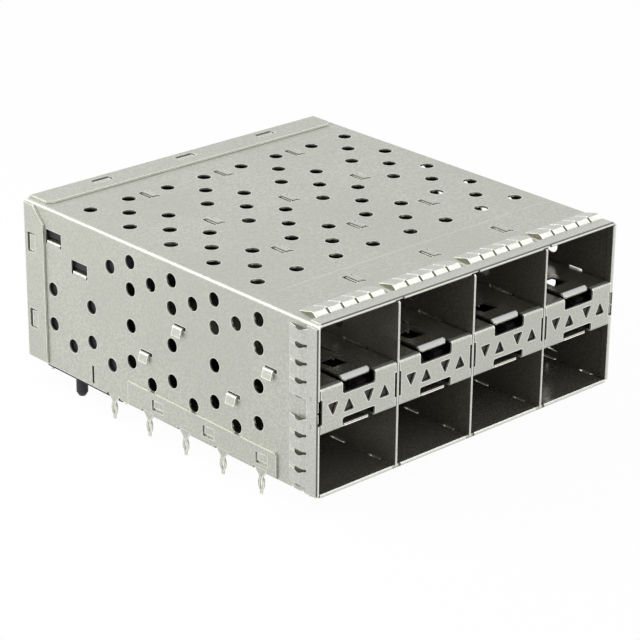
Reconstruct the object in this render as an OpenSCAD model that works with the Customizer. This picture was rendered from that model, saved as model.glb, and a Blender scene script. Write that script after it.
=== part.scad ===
// Stacked cage for small form-factor pluggable modules: two rows of ports in a folded
// sheet-metal box, with board connectors, light pipes and spring gaskets round its mouth.
// The origin lies on the board's top face, at the middle of the line of locating pegs.
// +Z points away from the board, and the ports open towards -Y.

/* [Ports] */
// Number of port columns
columns = 4; // [2:1:6]
// Distance between neighbouring port columns
column_pitch = 14.25; // [14.25:0.05:15.5]
// Clear height of each port
port_h = 8.8; // [8.7:0.05:9.4]
// Height of the separator between an upper and a lower port
separator_h = 6.6; // [6.4:0.1:8]

/* [Sheet metal] */
// Thickness of every folded sheet
sheet_t = 0.3; // [0.25:0.01:0.35]
// Outside radius of the long bends
bend_r = 0.5; // [0.4:0.05:0.7]
// Clearance between sheets that slide together
fit_gap = 0.05; // [0.03:0.01:0.1]
// Clearance between a separator and the walls beside it
side_gap = 0.15; // [0.13:0.01:0.2]
// Distance from the cage's mouth to the shell's own front edge
shell_front = 0.3; // [0.25:0.01:0.4]

/* [Vent holes] */
// Diameter of every vent hole
vent_d = 2.1; // [1.5:0.1:2.3]
// Depth of the first row of vents in the top
top_vent_first = 16.75; // [15:0.25:18]
// Distance between rows of vents in the top
top_vent_pitch = 4.55; // [4:0.05:6]
// Half the distance between the two vents of a double row
top_vent_half = 3.5; // [3:0.1:4]
// Sideways offset of the top vents from the port centres
top_vent_shift = 0.4; // [0:0.1:1]
// Depth of the first vents in the side walls and dividers
wall_vent_first = 11.8; // [11.8:0.1:12.5]
// Distance between the vents of one row in a wall
wall_vent_pitch = 9.05; // [8:0.05:10]
// Height between neighbouring rows of vents in a wall
wall_vent_rise = 2.05; // [1.5:0.05:2.2]

/* [Board pins] */
// Depth of the first pin of a wall
pin_first = 11.35; // [10:0.05:11.6]
// Distance between the pins of a wall
pin_pitch = 8; // [7:0.25:10]
// Height of the shell's lower edge above the board
seat_gap = 0.7; // [0.5:0.05:1]
// Length of a pin below the board's top face
pin_len = 2.8; // [2.6:0.1:3.2]
// Width of a pin's shoulder
shoulder_w = 2.1; // [1.6:0.1:2.4]
// Width of a pin's spring eye
eye_w = 1.25; // [1:0.05:1.4]

/* [Connectors] */
// Depth of the connector body's front face
connector_front = 42.2; // [41:0.2:44]
// Depth of a connector body
connector_depth = 17.6; // [17:0.1:20]
// Clearance between a connector body and the sheets beside it
connector_clear = 0.325; // [0.325:0.025:0.6]
// Distance that the card slots' snouts stand out of the body
snout_len = 4.6; // [3:0.1:5]
// Room behind the connectors for the light pipes
rear_space = 3.3; // [3.2:0.1:5]
// Diameter of a locating peg
peg_d = 1.75; // [1.5:0.05:1.9]
// Distance from a locating peg's centre to the side of its connector
peg_inset = 0.88; // [0.88:0.02:1.2]
// Distance from a connector's front face back to its locating pegs
peg_depth = 10.6; // [9.6:0.2:11.6]
// Contacts on each side of a card slot
contacts_per_side = 10; // [4:1:10]
// Distance between neighbouring contacts
contact_pitch = 0.8; // [0.75:0.01:0.8]

/* [Spring gaskets] */
// Thickness of the gasket strip
strip_t = 0.12; // [0.08:0.01:0.12]
// Width of a spring finger
finger_w = 2.1; // [1.8:0.05:2.25]
// Distance between neighbouring spring fingers
finger_pitch = 2.55; // [2.5:0.05:2.8]
// Height of a finger's crest above the sheet
finger_rise = 0.68; // [0.5:0.02:0.9]
// Depth at which a finger's tip meets the sheet again
finger_end = 5.5; // [5:0.1:7]

/* [Separators] */
// Width of the notch in a separator's front edge
notch_w = 5.9; // [5.5:0.1:6.2]
// Width of a latch tongue
tongue_w = 4.9; // [4.4:0.1:5.2]
// Depth at which a latch tongue joins its deck
tongue_root = 11.5; // [10:0.5:14]
// Width and height of a triangular light window
window_side = 2; // [1.6:0.1:2.2]

/* [Hidden] */
$fn = 48;
cut = 1; // overrun of every cutting shape

STEEL = [0.77, 0.78, 0.75];
SPRING = [0.85, 0.86, 0.83];
BLACK = [0.09, 0.09, 0.10];
GOLD = [0.83, 0.68, 0.32];
SMOKE = [0.34, 0.33, 0.36];

// Overall box of the shell
cage_w = columns * column_pitch + sheet_t;
cage_h = 2 * (port_h + sheet_t) + separator_h;
shell_back = connector_front + connector_depth + rear_space;
wall_in = cage_w / 2 - sheet_t;
bay_half = (column_pitch - sheet_t) / 2;
connector_w = 2 * (bay_half - connector_clear);
peg_offset = connector_w / 2 - peg_inset;

// Levels, from the shell's lower edge
lower_mid = sheet_t + port_h / 2;
deck_low = sheet_t + port_h;
deck_high = deck_low + separator_h;
separator_mid = (deck_low + deck_high) / 2;
upper_mid = deck_high + port_h / 2;

// Row of locating pegs, which carries the origin
datum_depth = connector_front + peg_depth;

// Port centres and divider lines across the width
function port_x(i) = (i - (columns - 1) / 2) * column_pitch;
function divider_x(i) = (i + 1 - columns / 2) * column_pitch;

// Board pins along a wall
pin_last = connector_front + 1.6;
pin_depths = [for (y = [pin_first : pin_pitch : pin_last]) y];
rear_pin_shift = 3.3;
relief = 0.3;
relief_w = 0.5;
foot_depth = 3.95;
foot_w = 1.6;

// Tabs that carry the separators
tab_w = 1.85;
tab_slot_w = 2.5;
tab_pitch = 18.8;
upper_tab_first = 8.1;
lower_tab_first = 15.55;
right_tab_shift = -2.3;
tab_drop = 1.1;

// Folded tabs that hold the dividers in the top
top_tab_first = 9.05;
top_tab_pitch = 14.55;
top_tab_w = 2.45;
top_tab_reach = 0.9;
top_tab_depths = [for (y = [top_tab_first : top_tab_pitch : shell_back - 8]) y];

// Tabs at the dividers' back edge
rear_tab_h = 3;
rear_tab_z = [lower_mid - rear_tab_h / 2, upper_mid - rear_tab_h / 2];

// Inside radius of a bend that a square sheet edge sits in
nest_r = max(bend_r - sheet_t - fit_gap, 0.05);

// Flanges of the rear cover
cover_flange = 4.4;
cover_front = shell_back - cover_flange;
cover_low = 0.2;
cover_high = cage_h - 0.4;
cover_chamfer = 2.4;
flange_clip = 0.8;
top_flange_half = cage_w / 2 - 0.95;
cover_latch_w = 3.3;
cover_latch_len = 1.45;
cover_latch_front = shell_back - 2.4;
cover_latch_x = [for (i = [-1 : 1]) i * (columns * column_pitch) * 0.28];
side_latch_z = [lower_mid + 0.3, separator_mid + 4.6];
side_latch_w = 1.8;
side_latch_h = 3;

// Wings of the bottom plate
wing_front = 7.9;
wing_back = connector_front - 2.6;
wing_h = 3.85;
wing_latch_first = 9.6;
wing_latch_pitch = 11.05;
wing_latch_len = 2.45;
wing_latch_z = 1.2;
wing_latch_h = 1.65;
wing_latch_depths = [for (y = [wing_latch_first : wing_latch_pitch : wing_back - 4]) y];

// Stretch of a wall's front edge without a hem, beside the separator
hem_break = [deck_low + 1.4, deck_high - 1.6];
// Level where the upper and the lower gasket strips of a wall meet
strip_joint = separator_mid - 0.3;

// Narrow slit in a wall beside the connector's foot
slit_low = [connector_front + 5.6, 0.45];
slit_high = slit_low + [0.5, 2.85];

// Windows through which tabs grip the connectors
grip_len = 3.7;
grip_h = 2.25;
grip_tab_w = 3;
grip_first = [6.6, -3.9];
grip_step = [6, 3];
grips = [for (k = [0, 1]) [connector_front, upper_mid] + grip_first + k * grip_step];

// Card slots
slot_w = 9.5;
slot_h = 1.5;
slot_depth = 8;
snout_wall = 0.95;
snout_w = slot_w + 2 * snout_wall;
snout_h = 5.4;
contact_w = 0.25;
contact_t = 0.35;
contact_gap = 0.02;
contact_x = [for (k = [0 : contacts_per_side - 1]) (k - (contacts_per_side - 1) / 2) * contact_pitch];
slot_levels = [lower_mid, upper_mid];

// Light pipes
pipe_w = 1.5;
pipe_h = 1.4;
pipe_x = [1.8, 4.65];
pipe_gap = 0.15;
pipe_wall = 0.65;
pipe_side = max(contact_x) + pipe_wall + pipe_gap + pipe_w / 2;
pipe_web = 0.6;
pipe_level = [separator_mid + pipe_web / 2, separator_mid - pipe_web / 2 - pipe_h];
light_level = separator_mid - 0.1;

// ---------------------------------------------------------------- helpers

// From depth behind the mouth and height above the shell's lower edge to the part's frame
module in_cage() {
  translate([0, -datum_depth, seat_gap]) children();
}

// Sheet lying flat: the outline is (width, depth)
module flat_sheet(z, t) {
  translate([0, 0, z]) linear_extrude(t) children();
}

// Sheet standing along the depth: the outline is (depth, height)
module side_sheet(x, t) {
  translate([x, 0, 0]) rotate([90, 0, 90]) linear_extrude(t) children();
}

// Sheet standing across the width: the outline is (width, height)
module front_sheet(y, t) {
  translate([0, y + t, 0]) rotate([90, 0, 0]) linear_extrude(t) children();
}

// Rectangle given by two opposite corners
module box_2d(low, high) {
  translate(low) square(high - low);
}

function unit(v) = v / norm(v);
function left_of(v) = [-v[1], v[0]];
function edge_dir(p, i) = unit(p[i + 1] - p[i]);

// Mitred normal at point i of an open path
function path_normal(p, i) =
  let (
    before = left_of(edge_dir(p, max(i - 1, 0))),
    after = left_of(edge_dir(p, min(i, len(p) - 2))),
    middle = unit(before + after)
  ) middle / (middle * before);

// Sheet of thickness t bent along a path
module ribbon(p, t) {
  last = len(p) - 1;
  polygon(concat(
    [for (i = [0 : last]) p[i] + path_normal(p, i) * t / 2],
    [for (i = [last : -1 : 0]) p[i] - path_normal(p, i) * t / 2]
  ));
}

// Points of an arc
function arc(centre, r, from, to, steps = 6) =
  [for (i = [0 : steps]) let (a = from + (to - from) * i / steps) centre + r * [cos(a), sin(a)]];

// Polygon with rounded corners
function rounded(p, r, steps = 4) =
  [for (i = [0 : len(p) - 1])
    let (
      corner = p[i],
      u = unit(p[(i + len(p) - 1) % len(p)] - corner),
      v = unit(p[(i + 1) % len(p)] - corner),
      half = acos(u * v) / 2,
      centre = corner + unit(u + v) * r / sin(half),
      first = corner + u * r / tan(half) - centre,
      last = corner + v * r / tan(half) - centre
    )
    for (k = [0 : steps]) centre + unit(first * (steps - k) + last * k) * r];

// Rectangle whose two upper corners are round
module arch(w, h, r) {
  translate([-w / 2, 0]) square([w, h - r]);
  translate([-w / 2 + r, 0]) square([w - 2 * r, h]);
  for (s = [-1, 1]) translate([s * (w / 2 - r), h - r]) circle(r);
}

// Pointed oval between two equal arcs
module lens(half_l, half_w) {
  r = (half_l * half_l + half_w * half_w) / (2 * half_w);
  intersection() {
    translate([r - half_w, 0]) circle(r);
    translate([half_w - r, 0]) circle(r);
  }
}

// Press-fit board pin with its shoulder: x runs along the sheet, y = 0 is the shell's lower edge
module board_pin() {
  neck = eye_w * 0.64;
  tip = -seat_gap - pin_len;
  eye = -seat_gap - pin_len * 0.4;
  eye_l = pin_len * 0.45;
  difference() {
    union() {
      polygon([
        [-shoulder_w / 2, relief + fit_gap], [-shoulder_w / 2, 0], [-neck / 2, -seat_gap],
        [neck / 2, -seat_gap], [shoulder_w / 2, 0], [shoulder_w / 2, relief + fit_gap]
      ]);
      box_2d([-neck / 2, eye], [neck / 2, -seat_gap + fit_gap]);
      translate([0, eye]) lens(eye_l, eye_w / 2);
      polygon([[-neck / 2.6, eye], [-0.18, tip], [0.18, tip], [neck / 2.6, eye]]);
    }
    translate([0, eye]) lens(eye_l * 0.78, eye_w / 5);
  }
}

// Tongue cut from a sheet and pushed out: (depth, out), hinged at depth 0
module lance_2d(length) {
  ribbon([[-relief, -sheet_t / 2], [0, -sheet_t / 2], [length, sheet_t / 2]], sheet_t);
}

// ---------------------------------------------------------------- shared patterns

function row_depths(first, last) = [for (y = [first : wall_vent_pitch : last]) y];

// Vents of a side wall or divider, in (depth, height)
module wall_vents() {
  half_step = wall_vent_pitch / 2;
  long_end = cover_front - vent_d / 2 - 0.4;
  short_end = connector_front + 1.6;
  low = lower_mid + 0.2;
  high = upper_mid - 0.1;
  rows = [
    [low, half_step, long_end - half_step],
    [low + wall_vent_rise, 0, long_end],
    [separator_mid, 0, long_end],
    [high - wall_vent_rise, 0, short_end],
    [high, half_step, short_end],
    [high + wall_vent_rise, 0, short_end]
  ];
  for (row = rows)
    for (y = row_depths(wall_vent_first + row[1], row[2]))
      translate([y, row[0]]) circle(d = vent_d);
}

// Slots in a wall for the tabs of a separator, in (depth, height)
module tab_slots(shift, length) {
  for (level = [[deck_high - sheet_t, upper_tab_first], [deck_low, lower_tab_first]])
    for (k = [0, 1])
      box_2d([level[1] + k * tab_pitch + shift, level[0] - fit_gap],
             [level[1] + k * tab_pitch + shift + length, level[0] + 2 * sheet_t - fit_gap]);
}

// Windows of the connector grips, in (depth, height)
module grip_windows() {
  for (g = grips) box_2d(g, g + [grip_len, grip_h]);
}

// Small notches at both sides of each foot in a wall's lower edge
module foot_notches(depths, w) {
  for (y = depths, s = [-1, 1])
    translate([y + s * (w + relief_w) / 2 - relief_w / 2, -cut]) square([relief_w, cut + relief]);
}

// ---------------------------------------------------------------- shell

// Outline of a side wall, in (depth, height)
module wall_outline(slot_shift) {
  difference() {
    union() {
      difference() {
        box_2d([shell_front, 0], [shell_back, cage_h - bend_r]);
        box_2d([wing_front - fit_gap, -cut], [wing_back + fit_gap, sheet_t + fit_gap]);
        foot_notches(pin_depths, shoulder_w);
        foot_notches([foot_depth], foot_w);
      }
      for (y = pin_depths) translate([y, 0]) board_pin();
    }
    wall_vents();
    tab_slots(slot_shift, tab_slot_w);
    grip_windows();
    for (z = [hem_break[0], strip_joint, hem_break[1] - relief])
      box_2d([0, z], [shell_front + relief, z + relief]);
    box_2d(slit_low, slit_high);
    for (y = wing_latch_depths)
      box_2d([y + 0.15, wing_latch_z + 0.35], [y + wing_latch_len - 0.1, wing_latch_z + wing_latch_h]);
    for (z = side_latch_z)
      box_2d([cover_latch_front + 0.1, z + 0.15],
             [cover_latch_front + side_latch_w, z + side_latch_h - 0.15]);
  }
}

// Tongues pushed out of a side wall into the windows of the bottom plate and rear cover
module wall_lances() {
  translate([-cage_w / 2, 0, 0]) rotate([0, 0, 90]) {
    for (y = wing_latch_depths)
      translate([y + 0.15, 0, wing_latch_z + 0.45]) linear_extrude(wing_latch_h - 0.55)
        lance_2d(wing_latch_len - 0.5);
    for (z = side_latch_z)
      translate([cover_latch_front + 0.1, 0, z + 0.3]) linear_extrude(side_latch_h - 0.6)
        lance_2d(side_latch_w - 0.6);
  }
}

// Tabs at the lower edge of the grip windows, rolled inwards under the connector's ledges
module grip_tabs() {
  r = 0.25;
  reach = 0.75;
  x = -cage_w / 2 + sheet_t / 2;
  for (g = grips) {
    centre = [x + r, g[1] + 0.2];
    front_sheet(g[0] + (grip_len - grip_tab_w) / 2, grip_tab_w)
      ribbon(concat([[x, g[1] - 0.3]], arc(centre, r, 180, 90), [centre + [reach - r, r]]), sheet_t);
  }
}

module side_wall(slot_shift) {
  side_sheet(-cage_w / 2, sheet_t) wall_outline(slot_shift);
  wall_lances();
  grip_tabs();
}

// Slot for a divider's folded tab, with a round relief at both far corners
module top_tab_slot() {
  box_2d([-0.8, -1.45], [top_tab_reach + fit_gap, top_tab_w - 0.95]);
  for (y = [-1.45, top_tab_w - 1.15]) translate([top_tab_reach, y]) circle(0.22);
}

module top_outline() {
  half = cage_w / 2 - bend_r;
  rows = floor((cover_front - 2 - top_vent_first) / top_vent_pitch);
  difference() {
    box_2d([-half, shell_front], [half, shell_back]);
    for (k = [0 : rows], i = [0 : columns - 1], s = (k % 2 == 0 ? [-1, 1] : [0]))
      translate([port_x(i) + top_vent_shift + s * top_vent_half, top_vent_first + k * top_vent_pitch])
        circle(d = vent_d);
    for (i = [0 : columns - 2], y = top_tab_depths) translate([divider_x(i), y]) top_tab_slot();
    for (x = cover_latch_x)
      box_2d([x - cover_latch_w / 2 + 0.1, cover_latch_front + 0.1],
             [x + cover_latch_w / 2 - 0.1, cover_latch_front + cover_latch_len]);
  }
}

module top_lances() {
  for (x = cover_latch_x)
    translate([0, cover_latch_front + 0.1, cage_h])
      side_sheet(x - cover_latch_w / 2 + 0.25, cover_latch_w - 0.5) lance_2d(cover_latch_len / 2);
}

// Long bend between the top and a wall; its front end closes the corner between the gaskets
module long_bend() {
  translate([0, shell_back, 0]) rotate([90, 0, 0]) linear_extrude(shell_back)
    translate([-cage_w / 2 + bend_r, cage_h - bend_r]) intersection() {
      difference() {
        circle(bend_r);
        circle(bend_r - sheet_t);
      }
      box_2d([-bend_r, 0], [0, bend_r]);
    }
}

module cage_shell() {
  color(STEEL) in_cage() {
    flat_sheet(cage_h - sheet_t, sheet_t) top_outline();
    top_lances();
    side_wall(0);
    long_bend();
    mirror([1, 0, 0]) {
      side_wall(right_tab_shift);
      long_bend();
    }
  }
}

// ---------------------------------------------------------------- rear cover

cover_out = cage_w / 2 + sheet_t + fit_gap;
cover_back = shell_back + fit_gap + sheet_t;
cover_top = cage_h + fit_gap + sheet_t;

// Back wall with its two side flanges, seen from above
module cover_plan() {
  rotate(180) translate([0, -cover_back]) difference() {
    arch_back(cover_out * 2, bend_r);
    translate([0, sheet_t]) arch_back(cover_out * 2 - 2 * sheet_t, nest_r);
  }
}

// Strip as deep as the flanges, round at the two corners of its near side
module arch_back(w, r) {
  translate([-w / 2, r]) square([w, cover_flange + 2 * sheet_t]);
  translate([-w / 2 + r, 0]) square([w - 2 * r, cover_flange + 2 * sheet_t]);
  for (s = [-1, 1]) translate([s * (w / 2 - r), r]) circle(r);
}

// Back wall and top flange, in (depth, height)
module cover_side_profile() {
  nest = [cover_back - sheet_t, cover_top - sheet_t];
  difference() {
    union() {
      box_2d([cover_front, 0], [cover_back, cover_top - bend_r]);
      box_2d([cover_front, 0], [cover_back - bend_r, cover_top]);
      translate([cover_back - bend_r, cover_top - bend_r]) circle(bend_r);
    }
    box_2d([cover_front - cut, -cut], nest - [0, nest_r]);
    box_2d([cover_front - cut, -cut], nest - [nest_r, 0]);
    translate(nest - [nest_r, nest_r]) circle(nest_r);
  }
}

// Slots in the back wall for the dividers' rear tabs, in (width, height)
module rear_tab_slots() {
  for (i = [0 : columns - 2], z = rear_tab_z)
    box_2d([divider_x(i) - sheet_t / 2 - fit_gap, z - fit_gap],
           [divider_x(i) + sheet_t / 2 + fit_gap, z + rear_tab_h + fit_gap]);
}

module rear_cover() {
  color(STEEL) in_cage() difference() {
    union() {
      flat_sheet(cover_low, cover_high - cover_low) cover_plan();
      side_sheet(-top_flange_half, 2 * top_flange_half) cover_side_profile();
      front_sheet(cover_back - sheet_t, sheet_t)
        for (i = [0 : columns - 1], s = [-1, 1]) translate([port_x(i) + s * rear_pin_shift, 0]) board_pin();
    }
    // Flanges end at the cover's front edge, with a sloping upper corner
    side_sheet(-cover_out - cut, 2 * cover_out + 2 * cut) polygon([
      [cover_front - cut, cover_high - cover_chamfer], [cover_front, cover_high - cover_chamfer],
      [cover_front + cover_chamfer, cover_high], [cover_front + cover_chamfer, cage_h],
      [cover_front - cut, cage_h]
    ]);
    flat_sheet(-cut, cage_h + 2 * cut) box_2d([-cover_out - cut, 0], [cover_out + cut, cover_front]);
    // Windows of the latches
    side_sheet(-cover_out - cut, 2 * cover_out + 2 * cut) for (z = side_latch_z)
      box_2d([cover_latch_front, z], [cover_latch_front + side_latch_w, z + side_latch_h]);
    flat_sheet(cage_h, sheet_t + cut) {
      for (x = cover_latch_x)
        box_2d([x - cover_latch_w / 2, cover_latch_front],
               [x + cover_latch_w / 2, cover_latch_front + cover_latch_len]);
      for (s = [-1, 1])
        translate([s * top_flange_half, cover_front]) rotate(45)
          square(flange_clip * sqrt(2), center = true);
    }
    // Notches in the upper bend
    flat_sheet(cover_top - 0.7, cut) for (x = cover_latch_x)
      box_2d([x - cover_latch_w / 2, cover_back - sheet_t], [x + cover_latch_w / 2, cover_back + cut]);
    front_sheet(cover_back - sheet_t - cut, sheet_t + 2 * cut) rear_tab_slots();
  }
}

// ---------------------------------------------------------------- bottom plate

// Slot in the floor for a board pin's shoulder, centred on the wall's middle
module pin_slot(w) {
  square([sheet_t + 2 * relief, w + 2 * relief], center = true);
}

module bottom_plate() {
  wing_out = cage_w / 2 + sheet_t + fit_gap;
  wall_mid = cage_w / 2 - sheet_t / 2;
  floor_half = wall_in - fit_gap;
  color(STEEL) in_cage() difference() {
    union() {
      flat_sheet(0, sheet_t) box_2d([-floor_half, shell_front], [floor_half, connector_front - 1]);
      // Floor and both wings in one bend profile
      front_sheet(wing_front, wing_back - wing_front) difference() {
        translate([0, wing_h]) mirror([0, 1]) arch(2 * wing_out, wing_h, bend_r);
        translate([0, wing_h + cut]) mirror([0, 1])
          arch(2 * (wing_out - sheet_t), wing_h + cut - sheet_t, nest_r);
      }
    }
    flat_sheet(-cut, 2 * cut - 0.4) {
      for (y = pin_depths, x = [-wall_mid, wall_mid, for (i = [0 : columns - 2]) divider_x(i)])
        translate([x, y]) pin_slot(shoulder_w);
      for (y = pin_depths, s = [-1, 1])
        translate([s * wing_out, y]) square([2 * bend_r, shoulder_w + 2 * relief], center = true);
      for (x = [-wall_mid, wall_mid]) translate([x, foot_depth]) pin_slot(foot_w);
      for (i = [0 : columns - 2]) translate([divider_x(i), foot_depth]) pin_slot(foot_w);
    }
    // Windows over the shell's tongues, and clipped front corners
    side_sheet(-wing_out - cut, 2 * (wing_out + cut)) {
      for (y = wing_latch_depths)
        box_2d([y, wing_latch_z], [y + wing_latch_len, wing_latch_z + wing_latch_h]);
      polygon([[wing_front - cut, wing_h - 0.4], [wing_front, wing_h - 0.4],
               [wing_front + 0.4, wing_h], [wing_front + 0.4, wing_h + cut],
               [wing_front - cut, wing_h + cut]]);
    }
  }
}

// ---------------------------------------------------------------- dividers

module divider_outline() {
  difference() {
    union() {
      difference() {
        box_2d([0, sheet_t], [shell_back, cage_h - sheet_t - fit_gap]);
        foot_notches(pin_depths, shoulder_w);
      }
      for (y = pin_depths) translate([y, 0]) board_pin();
      box_2d([foot_depth - foot_w / 2, 0], [foot_depth + foot_w / 2, 2 * sheet_t]);
      for (z = rear_tab_z) box_2d([shell_back - cut, z], [cover_back, z + rear_tab_h]);
    }
    wall_vents();
    tab_slots(right_tab_shift, tab_slot_w - right_tab_shift);
    grip_windows();
    // Round upper front corner
    translate([0, cage_h - sheet_t - fit_gap]) mirror([0, 1]) difference() {
      box_2d([-cut, -cut], [bend_r, bend_r]);
      translate([bend_r, bend_r]) circle(bend_r);
    }
  }
}

// Divider sheet with tabs folded over into the slots of the top
module divider(i) {
  r = 0.25;
  top = cage_h - sheet_t / 2;
  color(STEEL) in_cage() translate([divider_x(i), 0, 0]) {
    side_sheet(-sheet_t / 2, sheet_t) divider_outline();
    for (y = top_tab_depths)
      front_sheet(y - 1, top_tab_w)
        ribbon(concat([[0, top - 1]], arc([r, top - r], r, 180, 90), [[top_tab_reach, top]]), sheet_t);
  }
}

module divider_left() { divider(0); }
module divider_middle() { divider(1); }
module divider_right() { divider(2); }

// ---------------------------------------------------------------- separators

deck_back = connector_front - 0.3;
deck_half = bay_half - side_gap;
notch_top = 1.7;
notch_low = 1.5;
notch_r = 0.35;

// Front plate and both decks, in (depth, height)
module separator_profile() {
  r = 0.4;
  difference() {
    rotate(90) translate([separator_h / 2 + deck_low, -deck_back]) arch(separator_h, deck_back, r);
    rotate(90) translate([separator_h / 2 + deck_low, -deck_back - cut])
      arch(separator_h - 2 * sheet_t, deck_back + cut - sheet_t, r - sheet_t);
  }
}

// Latch tongue in a deck's notch, in (depth, height above the deck's outer face)
module tongue_2d() {
  ribbon([[0.45, -0.1], [1.2, 0.25], [4, 0.3], [tongue_root - 1, -sheet_t / 2],
          [tongue_root + 0.5, -sheet_t / 2]], sheet_t);
}

module tongue() {
  latch_w = 2.9;
  difference() {
    side_sheet(-tongue_w / 2, tongue_w) tongue_2d();
    flat_sheet(-cut, 3 * cut) box_2d([-latch_w / 2, 3.6], [latch_w / 2, 6.6]);
    // Round front corners
    for (s = [-1, 1]) flat_sheet(-cut, 3 * cut)
      translate([s * tongue_w / 2, 0.3]) rotate(45) square(0.7, center = true);
  }
}

// Triangle in a unit cell, point up or down
module light_window(up) {
  s = window_side / 2;
  k = up ? 1 : -1;
  polygon(rounded([[-s, -k * s], [0, k * s], [s, -k * s]], 0.18));
}

// Straight tab that ends in the slot of a divider
module short_tab(z) {
  flat_sheet(z, sheet_t) children();
}

// Tab that passes through the outer wall and is folded down over its outside
module folded_tab(z) {
  r = 0.25;
  x = -bay_half - sheet_t + 0.03;
  lean = 165;
  tip = [x, z - r + sheet_t / 2] + r * [cos(lean), sin(lean)];
  ribbon(concat([[-deck_half + 0.2, z + sheet_t / 2]],
                arc([x, z - r + sheet_t / 2], r, 90, lean),
                [tip + tab_drop * [-sin(lean), cos(lean)]]), sheet_t);
}

// Tabs of one side; the other side is their mirror image, moved along by shift
module side_tabs(shift, outer) {
  for (level = [[deck_high - sheet_t, upper_tab_first], [deck_low, lower_tab_first]], k = [0, 1]) {
    y = level[1] + k * tab_pitch + shift + tab_slot_w - tab_w - fit_gap;
    if (outer) front_sheet(y, tab_w) folded_tab(level[0]);
    else short_tab(level[0]) box_2d([-bay_half - sheet_t, y], [-deck_half + 0.2, y + tab_w]);
  }
}

module separator(i) {
  color(STEEL) in_cage() translate([port_x(i), 0, 0]) {
    difference() {
      side_sheet(-deck_half, 2 * deck_half) separator_profile();
      // Notches that free the latch tongues
      front_sheet(-cut, tongue_root + cut) {
        translate([0, deck_high + cut]) mirror([0, 1]) arch(notch_w, notch_top + cut, notch_r);
        translate([0, deck_low - cut]) arch(notch_w, notch_low + cut, notch_r);
      }
      // Shallow recess at both ends of the front plate, and its light windows
      front_sheet(-cut, 2 * cut) {
        for (s = [-1, 1])
          translate([s * deck_half, separator_mid]) square([2 * relief, separator_h - 3], center = true);
        for (k = [0 : 3]) translate([[-pipe_x[1], -pipe_x[0], pipe_x[0], pipe_x[1]][k], light_level])
          light_window(k % 2 == 1);
      }
    }
    translate([0, 0, deck_high]) tongue();
    translate([0, 0, deck_low]) mirror([0, 0, 1]) tongue();
    side_tabs(0, i == 0);
    mirror([1, 0, 0]) side_tabs(right_tab_shift, i == columns - 1);
  }
}

module separator_1() { separator(0); }
module separator_2() { separator(1); }
module separator_3() { separator(2); }
module separator_4() { separator(3); }

// ---------------------------------------------------------------- spring gaskets

hem_r = (sheet_t - strip_t) / 2 + side_gap - 0.01;
band_end = 2.15;

// Strip wrapped round the sheet's front edge, in (depth, out)
module band_2d() {
  mid = strip_t / 2;
  ribbon(concat(
    [[1.3, -sheet_t - mid], [shell_front + 0.35, -sheet_t - mid]],
    arc([shell_front, -sheet_t / 2], hem_r, 270, 90, 8),
    [[shell_front + 0.3, mid], [band_end, mid]]
  ), strip_t);
}

function ease(u) = u * u * (3 - 2 * u);

// Bowed spring finger: it rises steeply behind the band and falls gently to its tip, in (depth, out)
module finger_2d() {
  mid = strip_t / 2;
  crest = finger_rise - mid;
  rise_l = 1;
  start = band_end - 0.1;
  ribbon(concat(
    [[start - 0.5, mid], [start, mid]],
    [for (u = [0.2 : 0.2 : 1]) [start + u * rise_l, mid + ease(u) * (crest - mid)]],
    [[start + 1.4 * rise_l, crest - 0.04], [finger_end, mid + 0.01]]
  ), strip_t);
}

// Gasket strip along +X with its outer side up; fingers start at the given places, and
// hem_gaps are stretches without a hem
module gasket(length, fingers, hem_gaps) {
  difference() {
    side_sheet(0, length) band_2d();
    for (g = hem_gaps)
      translate([g[0], -cut, -cut]) cube([g[1] - g[0], shell_front + 2 * cut + 0.1, cut + fit_gap / 2]);
  }
  for (x = fingers) side_sheet(x, finger_w) finger_2d();
}

// Fingers over the top or bottom: a group for each port and a short flat tab at each divider
first_finger = 1.375;
divider_room = 1.4;
fingers_per_port = floor((column_pitch - divider_room) / finger_pitch);
column_x = [for (i = [0 : columns - 1]) sheet_t / 2 + i * column_pitch];
span_fingers = [for (x = column_x, k = [0 : fingers_per_port - 1]) x + first_finger + k * finger_pitch];
divider_gap = [-0.8, 0.95];
divider_gaps = [for (i = [1 : columns - 1]) divider_gap + [column_x[i], column_x[i]]];
flat_tab = [0.45, 1.4];
flat_tab_shift = 0.2;

// Fingers on a wall: four on each strip, counted downwards from below its upper end
wall_fingers = 4;
upper_finger_top = cage_h - 1.1;
lower_finger_top = strip_joint - 1.25;

module span_gasket() {
  inset = bend_r + fit_gap;
  translate([-cage_w / 2, 0, 0]) {
    difference() {
      gasket(cage_w - inset, span_fingers, divider_gaps);
      translate([-cut, -cut, -cut]) cube([cut + inset, finger_end + 2 * cut, 3 * cut]);
    }
    for (i = [1 : columns - 1])
      flat_sheet(0, strip_t) translate([column_x[i] + flat_tab_shift, band_end - relief])
        square(flat_tab + [0, relief]);
  }
}

module emi_spring_top() {
  color(SPRING) in_cage() translate([0, 0, cage_h]) span_gasket();
}

module emi_spring_bottom() {
  color(SPRING) in_cage() mirror([0, 0, 1]) span_gasket();
}

// Gasket of a side wall between two heights, with its uppermost finger just below top_finger
module wall_gasket(low, high, top_finger, break_span) {
  fingers = [for (k = [0 : wall_fingers - 1]) top_finger - low - finger_w - k * finger_pitch];
  translate([-cage_w / 2, 0, low]) rotate([0, -90, 0])
    gasket(high - low, fingers, [break_span - [low, low]]);
}

module left_gasket_upper() {
  wall_gasket(strip_joint + fit_gap, cage_h - bend_r - fit_gap, upper_finger_top,
              [strip_joint - cut, hem_break[1]]);
}

module left_gasket_lower() {
  wall_gasket(sheet_t + fit_gap, strip_joint - fit_gap, lower_finger_top,
              [hem_break[0], strip_joint + cut]);
}

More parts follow.
